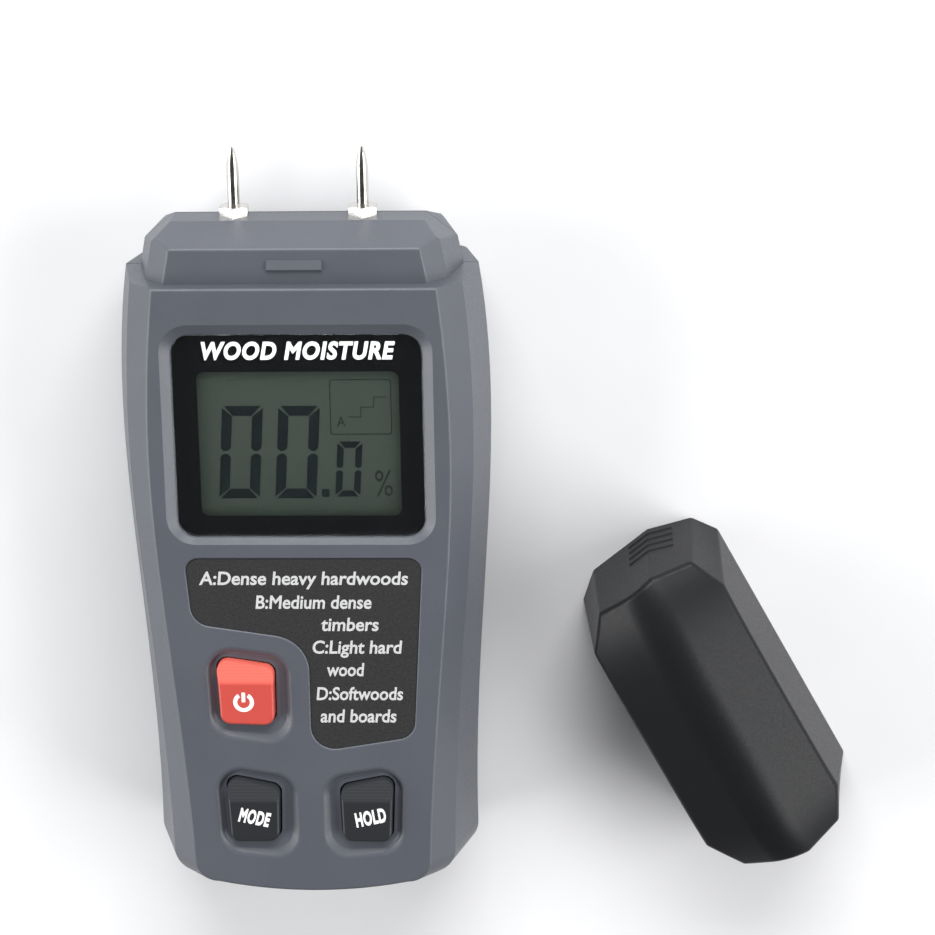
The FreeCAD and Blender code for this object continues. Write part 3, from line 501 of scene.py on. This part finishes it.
def zero_bars(left, low, wide, high, bar):
    """A seven-segment zero: mitred bars with fine gaps, leaning to the right."""
    right, top, middle = left + wide, low + high, low + high / 2
    cut = 3 * BAR_GAP
    inset = bar + BAR_GAP
    taper, tip = middle + bar * 0.45, middle + 2 * BAR_GAP
    top_bar = [(left + cut, top), (right - cut, top), (right - inset, top - bar), (left + inset, top - bar)]
    side_bar = [
        (left, top - cut), (left + bar, top - inset), (left + bar, taper),
        (left + bar * 0.65, tip), (left + bar * 0.3, tip), (left, taper),
    ]
    far_bar = [(left + right - x, y) for x, y in side_bar]
    upper = [top_bar, side_bar, far_bar]
    lower = [[(x, 2 * middle - y) for x, y in bar_shape] for bar_shape in upper]
    return [[(x + ZERO_LEAN * (y - low), y) for x, y in bar_shape] for bar_shape in upper + lower]


def display_digits(ink):
    """Three zeros and the decimal point."""
    outlines = []
    for zero in ZEROS:
        outlines += zero_bars(*zero)
    outlines.append(rounded_box(middle=(4.3, 77.1), size=(1.35, 1.5), radius=0.3))
    new_object("lcd_digits", raised(flat_shape(outlines), GLASS_TOP), ink, "meter")


def display_percent(ink):
    """The percent sign at the lower right."""
    mesh = fitted_text("%", left=13.2, right=16.4, base=76.5, height=4.9)
    new_object("lcd_percent", raised(mesh, GLASS_TOP), ink, "meter")


def display_scale(ink):
    """The faint box at the upper right with a rising stair line."""
    middle, size, line = (11.0, 93.25), (11.0, 10.3), 0.16
    outer = rounded_box(middle, size, radius=0.5)
    inner = rounded_box(middle, (size[0] - 2 * line, size[1] - 2 * line), radius=0.4)
    stair = []
    foot_x, foot_y, run, rise = 8.8, 91.3, 2.3, 1.85
    for step in range(3):
        stair.append((foot_x + run * step, foot_y + rise * step))
        stair.append((foot_x + run * (step + 1), foot_y + rise * step))
    back = [(x - line, y + line) for x, y in reversed(stair)]
    mesh = flat_shape([outer, inner, stair + back])
    new_object("lcd_scale", raised(mesh, GLASS_TOP), ink, "meter")


def display_group(ink):
    """The group letter at the foot of the stair line."""
    mesh = fitted_text("A", left=6.7, right=8.2, base=89.6, height=1.9)
    new_object("lcd_group", raised(mesh, GLASS_TOP), ink, "meter")


# ---- label ----

# Wood groups in plain words: text, left and right ends and base line in millimetres.
LEGEND = (
    ("A:Dense heavy hardwoods", -18.9, 18.9, 60.7),
    ("B:Medium dense", -8.8, 12.2, 56.1),
    ("timbers", 3.0, 13.4, 51.8),
    ("C:Light hard", 1.3, 17.6, 47.4),
    ("wood", 3.8, 10.6, 43.0),
    ("D:Softwoods", 1.7, 17.5, 38.3),
    ("and boards", 2.3, 16.2, 33.9),
)
LEGEND_HIGH = 2.5


def legend(ink):
    """The wood groups, one piece to a line."""
    for number, (text, left, right, base) in enumerate(LEGEND):
        mesh = fitted_text(text, left, right, base, LEGEND_HIGH, shear=0.12, bold=0.02)
        new_object("legend_line_" + str(number + 1), raised(mesh, LABEL_TOP), ink, "meter")


# ---- keys ----

# Words on the black keys: name of the piece, text, middle in millimetres, turn in degrees, body.
KEY_WORDS = (
    ("mode_word", "MODE", (-10.3, 15.6), -12.0, "mode_button"),
    ("hold_word", "HOLD", (11.0, 15.6), 12.0, "hold_button"),
)
KEY_WORD_WIDE = 5.8
KEY_WORD_HIGH = 2.75


def key_words(ink):
    """The words, each turned a little, with its outer end higher."""
    for name, text, middle, turn, body in KEY_WORDS:
        mesh = lettering(text, spacing=1.1, shear=0.12, bold=0.045)
        low, high, top = reach_of(mesh)
        wider, taller = KEY_WORD_WIDE * MM / (high - low), KEY_WORD_HIGH * MM / top
        mesh.transform(Matrix.Translation((-(low + high) / 2, -top / 2, 0.0)))
        mesh.transform(Matrix.Diagonal((wider, taller, 1.0, 1.0)))
        mesh.transform(Matrix.Rotation(math.radians(turn), 4, "Z"))
        mesh.transform(Matrix.Translation(at(middle[0], middle[1], 0.0)))
        new_object(name, raised(mesh, KEY_TOP), ink, body)


def power_symbol(ink):
    """A ring with a gap at the top and a bar in the gap."""
    middle = (-11.5, 38.4)
    outer, inner = 1.9, 1.15
    bar_rise, bar_size, bar_corner = 0.95, (0.68, 1.9), 0.15
    gap = math.radians(32)
    ring = []
    steps = 40
    for radius, order in ((outer, range(steps + 1)), (inner, range(steps, -1, -1))):
        for step in order:
            angle = math.pi / 2 + gap + (2 * math.pi - 2 * gap) * step / steps
            ring.append((middle[0] + radius * math.cos(angle), middle[1] + radius * math.sin(angle)))
    bar = rounded_box((middle[0], middle[1] + bar_rise), bar_size, bar_corner)
    mesh = flat_shape([ring, bar])
    new_object("power_symbol", raised(mesh, KEY_TOP), ink, "power_button")


# ---- set ----

FLOOR_REACH = 2.5
FLOOR_DROP = 0.05 * MM
LAMP_AIM = (0.02, 0.0, 0.01)

# The room's brightness, from the darkest direction to the brightest.
ROOM_STOPS = ((0.0, 0.05), (0.25, 0.15), (0.55, 0.58), (0.72, 0.90), (1.0, 1.0))
ROOM_TINT = (0.96, 0.98, 1.0)
ROOM_LEAN = (0.0, 0.5, -1.0)
ROOM_STRENGTH = 1.1


def floor():
    """A large flat pale sheet."""
    mesh = bpy.data.meshes.new("floor")
    shape = bmesh.new()
    corners = [(x * FLOOR_REACH, y * FLOOR_REACH, 0) for x, y in ((-1, -1), (1, -1), (1, 1), (-1, 1))]
    shape.faces.new([shape.verts.new(corner) for corner in corners])
    shape.to_mesh(mesh)
    shape.free()
    thing = bpy.data.objects.new("studio_floor", mesh)
    bpy.context.collection.objects.link(thing)
    shader = Shader("studio_paper")
    paper = shader.noise(40.0, 3.0)
    tone = shader.ramp(paper, [(0.3, PAPER_DARK), (0.7, PAPER_LIGHT)])
    shader.link(tone, shader.body.inputs["Base Color"])
    shader.set(Roughness=0.8)
    mesh.materials.append(shader.material)
    thing.location.z = CAD_BOX[0].z - FLOOR_DROP


def soft_light(name, place, size, power):
    """A rectangular lamp turned towards the object."""
    lamp = bpy.data.lights.new(name, "AREA")
    lamp.shape = "RECTANGLE"
    lamp.size, lamp.size_y = size
    lamp.energy = power
    holder = bpy.data.objects.new(name, lamp)
    bpy.context.collection.objects.link(holder)
    holder.location = place
    holder.rotation_euler = (Vector(LAMP_AIM) - Vector(place)).to_track_quat("-Z", "Y").to_euler()


def room_light():
    """Light from all around: bright along the horizon, most of all beyond the pins, and dim overhead."""
    world = bpy.data.worlds.new("studio")
    world.use_nodes = True
    nodes, links = world.node_tree.nodes, world.node_tree.links
    direction = nodes.new("ShaderNodeTexCoord")
    lean = nodes.new("ShaderNodeVectorMath")
    lean.operation = "DOT_PRODUCT"
    lean.inputs[1].default_value = ROOM_LEAN
    share = nodes.new("ShaderNodeMapRange")
    share.inputs["From Min"].default_value = -1.0
    share.inputs["From Max"].default_value = 0.5
    tone = nodes.new("ShaderNodeValToRGB")
    stops = [(place, [value * part for part in ROOM_TINT]) for place, value in ROOM_STOPS]
    fill_ramp(tone.color_ramp, stops)
    links.new(direction.outputs["Generated"], lean.inputs[0])
    links.new(lean.outputs["Value"], share.inputs["Value"])
    links.new(share.outputs["Result"], tone.inputs["Fac"])
    links.new(tone.outputs["Color"], nodes["Background"].inputs["Color"])
    nodes["Background"].inputs["Strength"].default_value = ROOM_STRENGTH
    bpy.context.scene.world = world


def lights():
    """Three softboxes, one high beyond the pins and one on each side, and the room's own light."""
    soft_light("high_softbox", place=(0.10, 0.88, 0.58), size=(0.9, 0.5), power=13.0)
    soft_light("left_softbox", place=(-0.78, -0.05, 0.40), size=(0.8, 0.45), power=7.5)
    soft_light("right_softbox", place=(0.74, -0.10, 0.50), size=(0.8, 0.45), power=7.0)
    room_light()
    bpy.context.scene.view_settings.view_transform = "Standard"


def camera():
    """Above the meter, leaning towards its pins and a little to its right."""
    lens = bpy.data.cameras.new("camera")
    lens.sensor_width = 36.0
    lens.lens = 131.3
    holder = bpy.data.objects.new("camera", lens)
    bpy.context.collection.objects.link(holder)
    holder.location = (0.05888, 0.21668, 0.60168)
    holder.rotation_euler = [math.radians(turn) for turn in (-18.715, 2.553, -0.991)]
    bpy.context.scene.camera = holder


# ---- everything ----

dress_nodes()
white = printed("white_ink", WHITE_INK)
segments = printed("lcd_segment", SEGMENT_INK, 0.25)
faint = printed("lcd_faint", FAINT_INK, 0.25)
window_border(printed("border_ink", BORDER_INK, 0.2))
title(white)
display_digits(segments)
display_percent(faint)
display_scale(faint)
display_group(faint)
legend(printed("legend_ink", LEGEND_INK))
key_words(white)
power_symbol(white)
floor()
lights()
camera()
